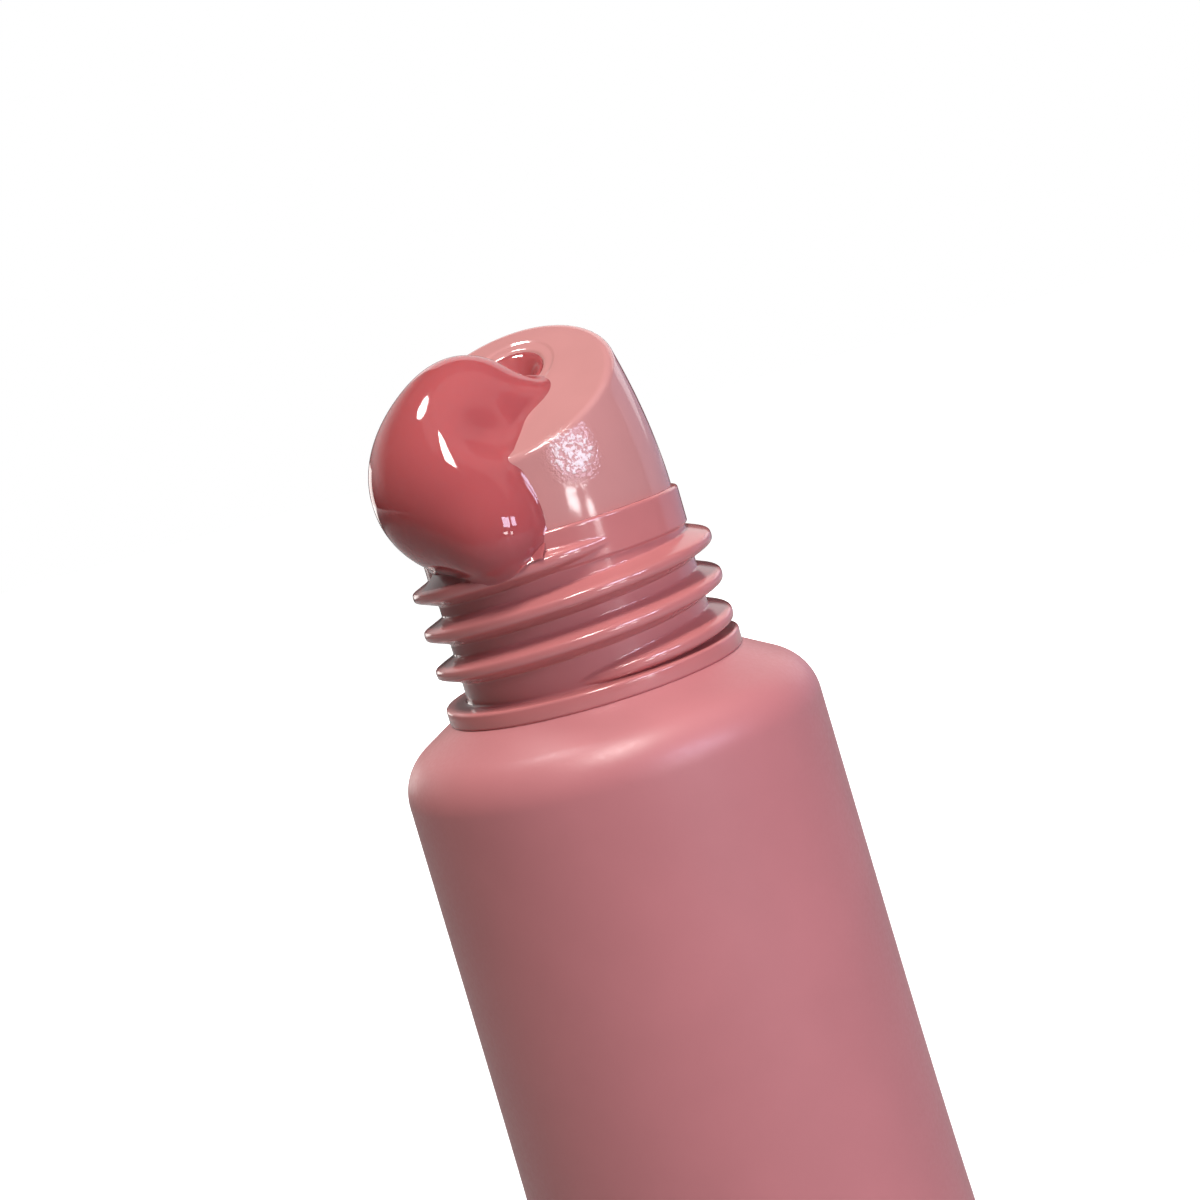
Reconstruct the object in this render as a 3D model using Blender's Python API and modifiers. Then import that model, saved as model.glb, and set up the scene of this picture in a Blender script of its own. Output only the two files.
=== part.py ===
"""Squeeze tube for lip balm: a round sleeve pressed flat and sealed at its foot, a moulded
head with a threaded neck, a slanted applicator tip plugged into the neck, the balm inside,
and a bead of balm that has come out of the orifice. Metres, +Z up the tube's axis, with the
origin at the middle of the sealed edge. The slanted face looks towards -Y, and the seal is
wide along X."""

import math

import bmesh
import bpy
import numpy as np
from mathutils import Vector

MM = 0.001

# Faces around every round piece, so that neighbours keep their gap all the way round
AROUND = 48
# Clearance between pieces that touch on the real tube
FIT_GAP = 0.08 * MM
# How far a cut or a join runs past the face that it works on
OVERRUN = 0.4 * MM

# Sleeve
SLEEVE_DIAMETER = 19.0 * MM
SLEEVE_WALL = 0.45 * MM
SLEEVE_LENGTH = 62.2 * MM
SHOULDER_CORNER = 2.3 * MM
SHOULDER_SLOPE = math.radians(30)
SEAL_HEIGHT = 4.5 * MM
SEAL_ROOM = 0.1 * MM
# How flat the fused band is: its sides are straight but for one part in this many
SEAL_SQUARENESS = 3
SEAL_RIB_PITCH = 1.0 * MM
SEAL_GROOVE_WIDTH = 0.4 * MM
SEAL_GROOVE_DEPTH = 0.1 * MM
SEAL_MARGIN = 0.9 * MM
# The sleeve flattens first as a straight wedge by this share, and the rest comes late: the
# power says how late
WEDGE_SHARE = 0.09
FLATTENING_POWER = 4.5
SLEEVE_ROWS = 10
CORNER_STEPS = 4

# Head
HEAD_DISC = 0.9 * MM
HEAD_SKIRT = 1.6 * MM
RING_DIAMETER = 13.5 * MM
# How far the ring reaches out over the shoulder, beyond the shoulder's hole
RING_LAP = 0.4 * MM
# How far the ring's flat top stands above the hole's edge
RING_RISE = 0.45 * MM
NECK_HEIGHT = 6.7 * MM
NECK_ROOT_DIAMETER = 11.45 * MM
NECK_LAND_DIAMETER = 11.7 * MM
NECK_LAND_HEIGHT = 1.7 * MM
NECK_BORE_DIAMETER = 8.6 * MM
HEAD_EDGE = 0.14 * MM

# Thread, right-handed
THREAD_DIAMETER = 13.4 * MM
THREAD_PITCH = 1.75 * MM
THREAD_CREST_WIDTH = 0.42 * MM
THREAD_CREST_ROUND = 0.06 * MM
# How deep the ridge's foot lies in the neck
THREAD_SINK = 0.1 * MM
THREAD_FOOT_WIDTH = 1.3 * MM
THREAD_START_RISE = 0.22 * MM
THREAD_TURNS = 3.1
# A whole number of faces round from +X, so that the thread's faces meet the neck's
THREAD_START_ANGLE = math.radians(-82.5)
THREAD_RUN_OUT = math.radians(32)

# Applicator tip
TIP_BASE_DIAMETER = 11.2 * MM
TIP_CROWN_DIAMETER = 7.6 * MM
TIP_HEIGHT = 6.2 * MM
TIP_SLANT = math.radians(30)
TIP_SWELL_POWER = 1.8
TIP_RIM_RADIUS = 0.5 * MM
TIP_ROWS = 5
RIM_STEPS = 4
ORIFICE_DIAMETER = 3.0 * MM
ORIFICE_OFFSET = 0.75 * MM
ORIFICE_LAND = 2.6 * MM
ORIFICE_EDGE = 0.15 * MM
PLUG_LENGTH = 4.2 * MM
PLUG_WALL = 0.9 * MM
PLUG_LEAD = 0.3 * MM
SNAP_HEIGHT = 0.16 * MM
SNAP_LENGTH = 0.9 * MM
SNAP_RISE = 1.0 * MM

# Balm inside
BALM_GAP = 0.12 * MM
BALM_LEAST_DEPTH = 0.5 * MM
BALM_MOUTH_DEPTH = 0.6 * MM

# Bead of balm outside
BEAD_RADIUS = 4.65 * MM
BEAD_OFFSET = 2.9 * MM
BEAD_DROP = 2.9 * MM
BEAD_HEADING = math.radians(218)
# Balls that flow together: place along the heading, across it and up, and radius
BEAD_BALL_SHARES = (
    (-0.03, -0.13, -0.05, 0.91),
    (0.19, 0.19, -0.28, 0.73),
    (0.29, 0.86, -0.56, 0.46),
    (0.35, 0.41, -0.18, 0.73),
    (-0.07, -0.05, 0.41, 0.57),
    (-0.25, 0.02, 0.52, 0.43),
    (-0.6, 0.37, 0.42, 0.21),
    (-0.66, 0.02, 0.48, 0.2),
    (-0.45, -0.02, 0.64, 0.21),
)
# Width over which two balls flow together
BEAD_BLEND_SHARE = 0.11
# A height inside the tip from which the whole bead is seen, and the middle of the view of it
BEAD_ROOT_HEIGHT = 3.2 * MM
BEAD_VIEW_RISE = math.radians(22)
BEAD_SEGMENTS = 44
BEAD_RINGS = 28
BEAD_SCAN = 90
BEAD_MARCH = 60
BEAD_HALVINGS = 20
BEAD_STRIDE_SHARE = 0.8
BEAD_REACH = 14 * MM
BEAD_GAP = 0.2 * MM

# How the surfaces look in a plain view
SLEEVE_COLOUR = (0.55, 0.21, 0.21)
HEAD_COLOUR = (0.56, 0.19, 0.19)
TIP_COLOUR = (0.7, 0.3, 0.28)
BALM_COLOUR = (0.5, 0.1, 0.1)
SATIN = 0.45
GLOSS = 0.12
WET = 0.08
# Edges that bend by more than this stay sharp in the shading
SHARP_BEND = math.radians(32)
SOFT_BEND = math.radians(50)

# Workings
HALVINGS = 50
PROBE_STEP = 0.05 * MM
WELD_DISTANCE = 0.008 * MM
SLEEVE_RADIUS = SLEEVE_DIAMETER / 2
SHOULDER_START = SLEEVE_LENGTH
HOLE_RADIUS = RING_DIAMETER / 2 - RING_LAP
BORE_RADIUS = NECK_BORE_DIAMETER / 2
PLUG_RADIUS = BORE_RADIUS - FIT_GAP
ORIFICE_RADIUS = ORIFICE_DIAMETER / 2


def clear_scene():
    for found in list(bpy.data.objects):
        bpy.data.objects.remove(found, do_unlink=True)


def collection_of(name):
    made = bpy.data.collections.new(name)
    bpy.context.scene.collection.children.link(made)
    return made


def plastic(name, colour, roughness):
    made = bpy.data.materials.new(name)
    made.use_nodes = True
    shader = made.node_tree.nodes["Principled BSDF"]
    shader.inputs["Base Color"].default_value = (*colour, 1.0)
    shader.inputs["Roughness"].default_value = roughness
    shader.inputs["Metallic"].default_value = 0.0
    made.diffuse_color = (*colour, 1.0)
    return made


def object_of(name, shape, collection, material=None):
    """A bmesh as an object. Without a material it is a helper, which no render shows."""
    mesh = bpy.data.meshes.new(name)
    shape.to_mesh(mesh)
    shape.free()
    made = bpy.data.objects.new(name, mesh)
    collection.objects.link(made)
    if material:
        mesh.materials.append(material)
    else:
        made.hide_render = True
        made.display_type = "WIRE"
    return made


def boolean(target, other, operation):
    step = target.modifiers.new(other.name, "BOOLEAN")
    step.operation = operation
    step.solver = "EXACT"
    step.object = other


def settle(target, sharp_angle):
    """Applies the modifiers and shades the result smooth, with sharp edges kept."""
    graph = bpy.context.evaluated_depsgraph_get()
    mesh = bpy.data.meshes.new_from_object(target.evaluated_get(graph), depsgraph=graph)
    mesh.name = target.name
    target.modifiers.clear()
    target.data = mesh
    mesh.shade_smooth()
    mesh.set_sharp_from_angle(angle=sharp_angle)


def turn(index, count=AROUND):
    return 2 * math.pi * index / count


def ellipse(half_width, half_depth, height, count=AROUND):
    return [
        Vector((half_width * math.cos(turn(i, count)), half_depth * math.sin(turn(i, count)), height))
        for i in range(count)
    ]


def circle(radius, height, centre_y=0.0, count=AROUND):
    return [point + Vector((0, centre_y, 0)) for point in ellipse(radius, radius, height, count)]


def loft(rings, ends):
    """Skin over rings of as many points each, with its ends capped or joined to each other."""
    shape = bmesh.new()
    loops = [[shape.verts.new(point) for point in ring] for ring in rings]
    pairs = list(zip(loops, loops[1:]))
    if ends == "joined":
        pairs.append((loops[-1], loops[0]))
    for lower, upper in pairs:
        for i in range(len(lower)):
            j = (i + 1) % len(lower)
            shape.faces.new((lower[i], lower[j], upper[j], upper[i]))
    if ends == "capped":
        shape.faces.new(loops[0])
        shape.faces.new(loops[-1])
    bmesh.ops.recalc_face_normals(shape, faces=shape.faces)
    return shape


def box(width, depth, height, centre):
    shape = bmesh.new()
    bmesh.ops.create_cube(shape, size=1.0)
    bmesh.ops.scale(shape, vec=(width, depth, height), verts=shape.verts)
    bmesh.ops.translate(shape, vec=centre, verts=shape.verts)
    return shape


def girth(half_width, half_depth):
    """The way round an ellipse, by Ramanujan's first formula."""
    a, b = half_width, half_depth
    return math.pi * (3 * (a + b) - math.sqrt((3 * a + b) * (a + 3 * b)))


def half_width_for(half_depth, way_round):
    """Pressing the sleeve flat doesn't stretch it, so its width follows from its depth."""
    low, high = half_depth, way_round / 4
    for _ in range(HALVINGS):
        middle = (low + high) / 2
        if girth(middle, half_depth) < way_round:
            low = middle
        else:
            high = middle
    return (low + high) / 2


def sleeve_section(height):
    """Half width and half depth of the middle of the sleeve's wall at a height."""
    middle = SLEEVE_RADIUS - SLEEVE_WALL / 2
    flat = SLEEVE_WALL / 2 + SEAL_ROOM
    way_down = (SHOULDER_START - height) / (SHOULDER_START - SEAL_HEIGHT)
    flatness = WEDGE_SHARE * way_down + (1 - WEDGE_SHARE) * way_down**FLATTENING_POWER
    half_depth = middle - (middle - flat) * flatness
    return half_width_for(half_depth, 2 * math.pi * middle), half_depth


def shoulder(inwards, down_to_radius):
    """Outline of the shoulder, as radius and height, this far inside its outer surface."""
    centre = SLEEVE_RADIUS - SHOULDER_CORNER
    radius = SHOULDER_CORNER - inwards
    last = math.pi / 2 - SHOULDER_SLOPE
    points = []
    for k in range(CORNER_STEPS + 1):
        angle = last * k / CORNER_STEPS
        points.append((centre + radius * math.cos(angle), SHOULDER_START + radius * math.sin(angle)))
    points.append((down_to_radius, cone_height(inwards, down_to_radius)))
    return points


def cone_height(inwards, radius):
    """Height of the shoulder's cone at a radius, this far inside its outer surface."""
    last = math.pi / 2 - SHOULDER_SLOPE
    reach = SHOULDER_CORNER - inwards
    start = SLEEVE_RADIUS - SHOULDER_CORNER + reach * math.cos(last)
    return SHOULDER_START + reach * math.sin(last) + (start - radius) * math.tan(SHOULDER_SLOPE)


def sleeve_side(outwards, least_depth=0.0, top=SHOULDER_START):
    """Rings of the sleeve's wall from the seal up to its shoulder, in or out from its middle,
    leaving out those that would be thinner than the least half depth or not below the top."""
    rings = []
    for row in range(SLEEVE_ROWS):
        height = SEAL_HEIGHT + (SHOULDER_START - SEAL_HEIGHT) * row / SLEEVE_ROWS
        half_width, half_depth = sleeve_section(height)
        if half_depth + outwards >= least_depth and height < top:
            rings.append(ellipse(half_width + outwards, half_depth + outwards, height))
    return rings


def seal_half_width():
    return sleeve_section(SEAL_HEIGHT)[0] + SLEEVE_WALL / 2


def seal_ring(height):
    """The two walls fused flat: a band with round ends."""
    ring = ellipse(seal_half_width(), SLEEVE_WALL * SEAL_SQUARENESS, height)
    for point in ring:
        point.y = max(-SLEEVE_WALL, min(SLEEVE_WALL, point.y))
    return ring


def sleeve_rings():
    """The sleeve from its sealed edge up its outside, in at the hole and down its inside."""
    hole = HOLE_RADIUS
    rings = [seal_ring(0.0), seal_ring(SEAL_HEIGHT - SEAL_ROOM)]
    rings += sleeve_side(SLEEVE_WALL / 2)
    rings += [circle(*point) for point in shoulder(0.0, hole)]
    rings += [circle(*point) for point in reversed(shoulder(SLEEVE_WALL, hole))]
    rings += reversed(sleeve_side(-SLEEVE_WALL / 2))
    return rings


def seal_grooves():
    """Upright grooves that the sealing jaws press into both sides of the band."""
    room = seal_half_width() - SEAL_MARGIN - SEAL_GROOVE_WIDTH / 2
    count = math.floor(room / SEAL_RIB_PITCH)
    height = SEAL_HEIGHT - 2 * SEAL_MARGIN
    depth = SEAL_GROOVE_DEPTH + OVERRUN
    away = SLEEVE_WALL - SEAL_GROOVE_DEPTH + depth / 2
    shape = bmesh.new()
    for k in range(-count, count + 1):
        for side in (-1, 1):
            centre = (k * SEAL_RIB_PITCH, side * away, SEAL_HEIGHT / 2)
            groove = box(SEAL_GROOVE_WIDTH, depth, height, centre)
            mesh = bpy.data.meshes.new("groove")
            groove.to_mesh(mesh)
            groove.free()
            shape.from_mesh(mesh)
            bpy.data.meshes.remove(mesh)
    return shape


def make_sleeve(parts, cutters, material):
    sleeve = object_of("tube_sleeve", loft(sleeve_rings(), "capped"), parts, material)
    boolean(sleeve, object_of("seal_grooves", seal_grooves(), cutters), "DIFFERENCE")
    settle(sleeve, SHARP_BEND)


def above_shoulder(radius):
    """Height of the head's underside over the shoulder's cone at a radius."""
    return cone_height(0.0, radius) + FIT_GAP / math.cos(SHOULDER_SLOPE)


def ring_foot():
    return above_shoulder(RING_DIAMETER / 2)


def ring_top():
    return above_shoulder(HOLE_RADIUS) + RING_RISE


def neck_top():
    return ring_top() + NECK_HEIGHT


def snap_levels():
    """Heights of the foot, the crest and the head of the plug's snap bead."""
    foot = neck_top() - PLUG_LENGTH + SNAP_RISE
    return foot, foot + SNAP_LENGTH / 2, foot + SNAP_LENGTH


def head_outline():
    """Half section of the head, from the bore's mouth down its outer side and back inside."""
    top = neck_top()
    land = NECK_LAND_DIAMETER / 2
    root = NECK_ROOT_DIAMETER / 2
    ring = RING_DIAMETER / 2
    land_foot = top - NECK_LAND_HEIGHT
    slot = HOLE_RADIUS - FIT_GAP
    under = SLEEVE_WALL + FIT_GAP
    skirt_foot = SHOULDER_START - HEAD_SKIRT
    foot, crest, head = snap_levels()
    groove = BORE_RADIUS + SNAP_HEIGHT
    outline = [
        (BORE_RADIUS, top),
        (land - HEAD_EDGE, top),
        (land, top - HEAD_EDGE),
        (land, land_foot),
        (root, land_foot - HEAD_EDGE),
        (root, ring_top()),
        (ring - HEAD_EDGE, ring_top()),
        (ring, ring_top() - HEAD_EDGE),
        (ring, ring_foot()),
        (slot, cone_height(-FIT_GAP, slot)),
    ]
    outline += reversed(shoulder(under, slot))
    outline.append((SLEEVE_RADIUS - under, skirt_foot))
    outline.append((SLEEVE_RADIUS - under - HEAD_DISC, skirt_foot))
    outline += shoulder(under + HEAD_DISC, BORE_RADIUS)
    outline += [(BORE_RADIUS, foot), (groove, crest), (BORE_RADIUS, head)]
    return outline


def turned(outline):
    """A closed half section as edges, for a Screw modifier to turn about Z."""
    shape = bmesh.new()
    corners = [shape.verts.new((radius, 0, height)) for radius, height in outline]
    for first, second in zip(corners, corners[1:] + corners[:1]):
        shape.edges.new((first, second))
    return shape


def thread_height(gone):
    """Height of the thread's middle, this far round from its start."""
    return ring_top() + THREAD_START_RISE + THREAD_PITCH * gone / (2 * math.pi)


def thread_section(fade, height):
    """The thread's half section, with its crest drawn back into the neck as fade goes to 0."""
    foot = NECK_ROOT_DIAMETER / 2 - THREAD_SINK
    crest = foot + (THREAD_DIAMETER / 2 - foot) * fade
    edge = THREAD_CREST_ROUND * fade
    half_foot = THREAD_FOOT_WIDTH / 2
    half_crest = THREAD_CREST_WIDTH / 2
    return (
        (foot - THREAD_SINK, height - half_foot),
        (foot, height - half_foot),
        (crest - edge, height - half_crest),
        (crest, height),
        (crest - edge, height + half_crest),
        (foot, height + half_foot),
        (foot - THREAD_SINK, height + half_foot),
    )


def thread():
    """A ridge wound up the neck, which rises out of it and sinks back at its two ends."""
    steps = round(AROUND * THREAD_TURNS)
    rings = []
    for k in range(steps + 1):
        gone = turn(k)
        angle = THREAD_START_ANGLE + gone
        way_in = min(1.0, gone / THREAD_RUN_OUT, (turn(steps) - gone) / THREAD_RUN_OUT)
        fade = math.sin(way_in * math.pi / 2)
        rings.append([
            Vector((radius * math.cos(angle), radius * math.sin(angle), level))
            for radius, level in thread_section(fade, thread_height(gone))
        ])
    return loft(rings, "capped")


def make_head(parts, cutters, material):
    head = object_of("tube_head", turned(head_outline()), parts, material)
    screw = head.modifiers.new("turned", "SCREW")
    screw.steps = AROUND
    screw.render_steps = AROUND
    screw.merge_threshold = WELD_DISTANCE
    screw.use_merge_vertices = True
    boolean(head, object_of("neck_thread", thread(), cutters), "UNION")
    settle(head, SHARP_BEND)


def tip_base():
    return neck_top() + FIT_GAP


def slant_height(y):
    """Height of the slanted face at a depth."""
    return tip_base() + TIP_HEIGHT + y * math.tan(TIP_SLANT)


def tip_radius(height):
    """The tip swells inwards from its base to the crown that the slant cuts away."""
    base = TIP_BASE_DIAMETER / 2
    crown = TIP_CROWN_DIAMETER / 2
    full = TIP_HEIGHT + base * math.tan(TIP_SLANT)
    share = max(0.0, (height - tip_base()) / full)
    return base - (base - crown) * share**TIP_SWELL_POWER


def rim_height(angle):
    """Where the tip's side meets the slanted face at an angle round the axis."""
    low = tip_base()
    high = slant_height(TIP_BASE_DIAMETER)
    for _ in range(HALVINGS):
        middle = (low + high) / 2
        if middle < slant_height(tip_radius(middle) * math.sin(angle)):
            low = middle
        else:
            high = middle
    return (low + high) / 2


def rim_arc(angle):
    """Rounded edge between side and slanted face, as radius and height, side first."""
    top = rim_height(angle)
    corner = Vector((tip_radius(top), top))
    below = Vector((tip_radius(top - PROBE_STEP), top - PROBE_STEP))
    down = (below - corner).normalized()
    inwards = Vector((-1, -math.tan(TIP_SLANT) * math.sin(angle))).normalized()
    opening = down.angle(inwards)
    centre = corner + (down + inwards).normalized() * TIP_RIM_RADIUS / math.sin(opening / 2)
    start = corner + down * TIP_RIM_RADIUS / math.tan(opening / 2) - centre
    end = corner + inwards * TIP_RIM_RADIUS / math.tan(opening / 2) - centre
    sweep = math.pi - opening
    points = []
    for k in range(RIM_STEPS + 1):
        share = k / RIM_STEPS
        mixed = start * math.sin((1 - share) * sweep) + end * math.sin(share * sweep)
        points.append(centre + mixed / math.sin(sweep))
    return points


def tip_skin():
    """Rings up the tip's side and over its rim."""
    columns = []
    for i in range(AROUND):
        arc = rim_arc(turn(i))
        start = tip_base()
        heights = [start + (arc[0].y - start) * row / TIP_ROWS for row in range(TIP_ROWS)]
        side = [(tip_radius(height), height) for height in heights]
        columns.append([
            Vector((radius * math.cos(turn(i)), radius * math.sin(turn(i)), height))
            for radius, height in side + [tuple(point) for point in arc]
        ])
    return [list(ring) for ring in zip(*columns)]


def orifice_ring(radius, sunk):
    """A ring round the orifice, on the slanted face or this far under it."""
    ring = circle(radius, 0.0, ORIFICE_OFFSET)
    for point in ring:
        point.z = slant_height(point.y) - sunk
    return ring


def channel_foot():
    return slant_height(ORIFICE_OFFSET) - ORIFICE_LAND


def tip_rings():
    """The whole tip as rings: plug, side, rim, slanted face, orifice and channel."""
    plug_foot = tip_base() - PLUG_LENGTH
    inside = PLUG_RADIUS - PLUG_WALL
    foot, crest, head = snap_levels()
    rings = [
        circle(inside, plug_foot),
        circle(PLUG_RADIUS - PLUG_LEAD, plug_foot),
        circle(PLUG_RADIUS, plug_foot + PLUG_LEAD),
        circle(PLUG_RADIUS, foot),
        circle(PLUG_RADIUS + SNAP_HEIGHT, crest),
        circle(PLUG_RADIUS, head),
        circle(PLUG_RADIUS, tip_base()),
    ]
    rings += tip_skin()
    rings += [
        orifice_ring(ORIFICE_RADIUS + ORIFICE_EDGE, 0.0),
        orifice_ring(ORIFICE_RADIUS, ORIFICE_EDGE),
        circle(ORIFICE_RADIUS, channel_foot(), ORIFICE_OFFSET),
        circle(inside, tip_base()),
    ]
    return rings


def make_tip(parts, material):
    tip = object_of("applicator_tip", loft(tip_rings(), "joined"), parts, material)
    settle(tip, SHARP_BEND)


def balm_rings():
    """The balm follows the walls that hold it, up to a little under the orifice's mouth."""
    inset = SLEEVE_WALL / 2 + BALM_GAP
    top = SHOULDER_START - HEAD_SKIRT - BALM_GAP
    rings = sleeve_side(-inset, BALM_LEAST_DEPTH, top)
    half_width, half_depth = sleeve_section(top)
    rings.append(ellipse(half_width - inset, half_depth - inset, top))
    under = SLEEVE_WALL + FIT_GAP + HEAD_DISC + BALM_GAP
    bore = BORE_RADIUS - BALM_GAP
    rings.append(circle(SLEEVE_RADIUS - under, top))
    for radius, height in shoulder(under, bore):
        rings.append(circle(radius, height))
    inside = PLUG_RADIUS - PLUG_WALL - BALM_GAP
    plug_foot = tip_base() - PLUG_LENGTH - BALM_GAP
    mouth = ORIFICE_RADIUS - BALM_GAP
    rings += [
        circle(bore, plug_foot),
        circle(inside, plug_foot),
        circle(inside, tip_base() - BALM_GAP),
        circle(mouth, channel_foot() - BALM_GAP, ORIFICE_OFFSET),
        circle(mouth, balm_mouth(), ORIFICE_OFFSET),
    ]
    return rings


def balm_mouth():
    return slant_height(ORIFICE_OFFSET - ORIFICE_RADIUS) - BALM_MOUTH_DEPTH


def make_fill(parts, material):
    fill = object_of("balm_fill", loft(balm_rings(), "capped"), parts, material)
    settle(fill, SHARP_BEND)


def bead_place(along, across, up):
    """A step from the bead's middle in shares of its radius, along pointing away from the
    tube's axis."""
    heading = np.array((math.cos(BEAD_HEADING), math.sin(BEAD_HEADING), 0.0))
    sideways = np.array((-heading[1], heading[0], 0.0))
    return (heading * along + sideways * across + np.array((0.0, 0.0, up))) * BEAD_RADIUS


def bead_middle():
    return bead_place(BEAD_OFFSET / BEAD_RADIUS, 0.0, 0.0) + (0.0, 0.0, slant_height(0.0) - BEAD_DROP)


def flowed(first, second, blend):
    """The smaller of two distances, with the corner between them filled like a fillet."""
    near = np.maximum(0.0, blend - np.abs(first - second)) / blend
    return np.minimum(first, second) - near * near * blend / 4


def from_balls(points):
    """About how far points are outside the balls that make the bead."""
    least = None
    for *place, share in BEAD_BALL_SHARES:
        centre = bead_middle() + bead_place(*place)
        away = np.linalg.norm(points - centre, axis=1) - share * BEAD_RADIUS
        least = away if least is None else flowed(least, away, BEAD_BLEND_SHARE * BEAD_RADIUS)
    return least


def from_tip(points):
    """About how far points are outside the tip: its side, slanted face and rounded rim."""
    radius = np.hypot(points[:, 0], points[:, 1])
    side = radius - np.array([tip_radius(height) for height in points[:, 2]])
    slant = (points[:, 2] - slant_height(points[:, 1])) * math.cos(TIP_SLANT)
    past_side, past_slant = side + TIP_RIM_RADIUS, slant + TIP_RIM_RADIUS
    corner = np.hypot(np.maximum(past_side, 0.0), np.maximum(past_slant, 0.0))
    return corner + np.minimum(np.maximum(past_side, past_slant), 0.0) - TIP_RIM_RADIUS


def from_neck(points):
    """About how far points are outside the neck's land and the thread's topmost strand."""
    radius = np.hypot(points[:, 0], points[:, 1])
    land = np.maximum(radius - NECK_LAND_DIAMETER / 2, points[:, 2] - neck_top())
    whole = turn(AROUND)
    turned_back = np.arctan2(points[:, 1], points[:, 0]) - THREAD_START_ANGLE - whole * THREAD_TURNS
    strand = thread_height(whole * THREAD_TURNS + np.mod(turned_back, whole) - whole)
    above = points[:, 2] - strand - THREAD_CREST_WIDTH / 2
    out = radius - THREAD_DIAMETER / 2
    thread = np.maximum(out, np.maximum((out + above) / math.sqrt(2), above - THREAD_PITCH / 2))
    return np.minimum(land, thread)


def bead_clear(points):
    """How far points are from the tip and the neck, beyond the gap that the bead keeps."""
    return np.minimum(from_tip(points), from_neck(points)) - BEAD_GAP


def bead_root():
    return np.array((0.0, 0.0, tip_base() + BEAD_ROOT_HEIGHT))


def drawn_in(ways, reach, outside):
    """Places that come in along each way towards the bead's root until outside is 0."""
    for _ in range(BEAD_MARCH):
        here = outside(bead_root() + ways * reach[:, None])
        reach = np.maximum(reach - np.maximum(here, 0.0) * BEAD_STRIDE_SHARE, 0.0)
    return reach


def bead_ways(turned, tilted):
    """Ways out from the root: tilted from the middle of the view, turned around it."""
    rise, heading = BEAD_VIEW_RISE, BEAD_HEADING
    level = np.array((math.cos(heading), math.sin(heading), 0.0))
    middle = level * math.cos(rise) + np.array((0.0, 0.0, math.sin(rise)))
    side = np.array((-level[1], level[0], 0.0))
    up = np.cross(middle, side)
    around = np.outer(np.cos(turned), side) + np.outer(np.sin(turned), up)
    return np.outer(np.cos(tilted), middle) + around * np.sin(tilted)[:, None]


def bead_skin(turned, tilted):
    ways = bead_ways(turned, tilted)
    return ways, drawn_in(ways, np.full(len(ways), BEAD_REACH), from_balls)


def bead_edge(turned):
    """How far from the middle of the view the bead meets the tip or neck, at each turn."""
    low = np.zeros(len(turned))
    step = math.pi / BEAD_SCAN
    found = np.zeros(len(turned), bool)
    for _ in range(BEAD_SCAN):
        ways, reach = bead_skin(turned, low + step)
        found |= bead_clear(bead_root() + ways * reach[:, None]) < 0
        low = np.where(found, low, low + step)
    high = low + step
    for _ in range(BEAD_HALVINGS):
        middle = (low + high) / 2
        ways, reach = bead_skin(turned, middle)
        over = bead_clear(bead_root() + ways * reach[:, None]) < 0
        low, high = np.where(over, low, middle), np.where(over, middle, high)
    return low


def make_bead(parts, material):
    """A ball whose upper half becomes the bead's skin and whose lower half lies on the tip."""
    shape = bmesh.new()
    bmesh.ops.create_uvsphere(shape, u_segments=BEAD_SEGMENTS, v_segments=BEAD_RINGS, radius=1.0)
    ball = np.array([tuple(point.co) for point in shape.verts])
    turned = np.arctan2(ball[:, 1], ball[:, 0])
    from_pole = np.arccos(np.clip(np.abs(ball[:, 2]), 0.0, 1.0)) / (math.pi / 2)
    ways, reach = bead_skin(turned, bead_edge(turned) * from_pole)
    bed = drawn_in(ways, reach, bead_clear)
    reach = np.where(ball[:, 2] < 0, bed, reach)
    for point, place in zip(shape.verts, bead_root() + ways * reach[:, None]):
        point.co = place
    bmesh.ops.recalc_face_normals(shape, faces=shape.faces)
    settle(object_of("balm_bead", shape, parts, material), SOFT_BEND)


def main():
    clear_scene()
    parts = collection_of("lip_balm_tube")
    cutters = collection_of("cutters")
    balm = plastic("balm", BALM_COLOUR, WET)
    make_sleeve(parts, cutters, plastic("sleeve_satin", SLEEVE_COLOUR, SATIN))
    make_head(parts, cutters, plastic("head_gloss", HEAD_COLOUR, GLOSS))
    make_tip(parts, plastic("tip_gloss", TIP_COLOUR, GLOSS))
    make_fill(parts, balm)
    make_bead(parts, balm)


main()
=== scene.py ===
"""Looks for the lip balm tube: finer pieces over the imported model's, procedural materials, a
pale floor, soft studio lamps and the camera. Metres, +Z up the tube's axis."""

import math

import bmesh
import bpy
import numpy as np
from mathutils import Matrix, Vector


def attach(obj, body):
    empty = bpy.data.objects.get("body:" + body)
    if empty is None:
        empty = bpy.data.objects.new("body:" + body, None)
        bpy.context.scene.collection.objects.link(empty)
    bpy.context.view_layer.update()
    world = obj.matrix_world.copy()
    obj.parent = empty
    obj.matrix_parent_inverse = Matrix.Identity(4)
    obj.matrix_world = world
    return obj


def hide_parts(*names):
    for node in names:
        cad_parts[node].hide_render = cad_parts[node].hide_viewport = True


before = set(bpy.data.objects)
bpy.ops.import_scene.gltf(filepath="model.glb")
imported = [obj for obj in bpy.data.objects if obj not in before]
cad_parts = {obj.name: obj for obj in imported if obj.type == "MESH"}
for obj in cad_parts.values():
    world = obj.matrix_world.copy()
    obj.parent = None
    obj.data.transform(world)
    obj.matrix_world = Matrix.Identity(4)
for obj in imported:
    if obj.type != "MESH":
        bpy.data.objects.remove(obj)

MM = 0.001
FULL_TURN = 2 * math.pi
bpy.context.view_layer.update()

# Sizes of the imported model, which these pieces follow
FIT_GAP = 0.08 * MM

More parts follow.
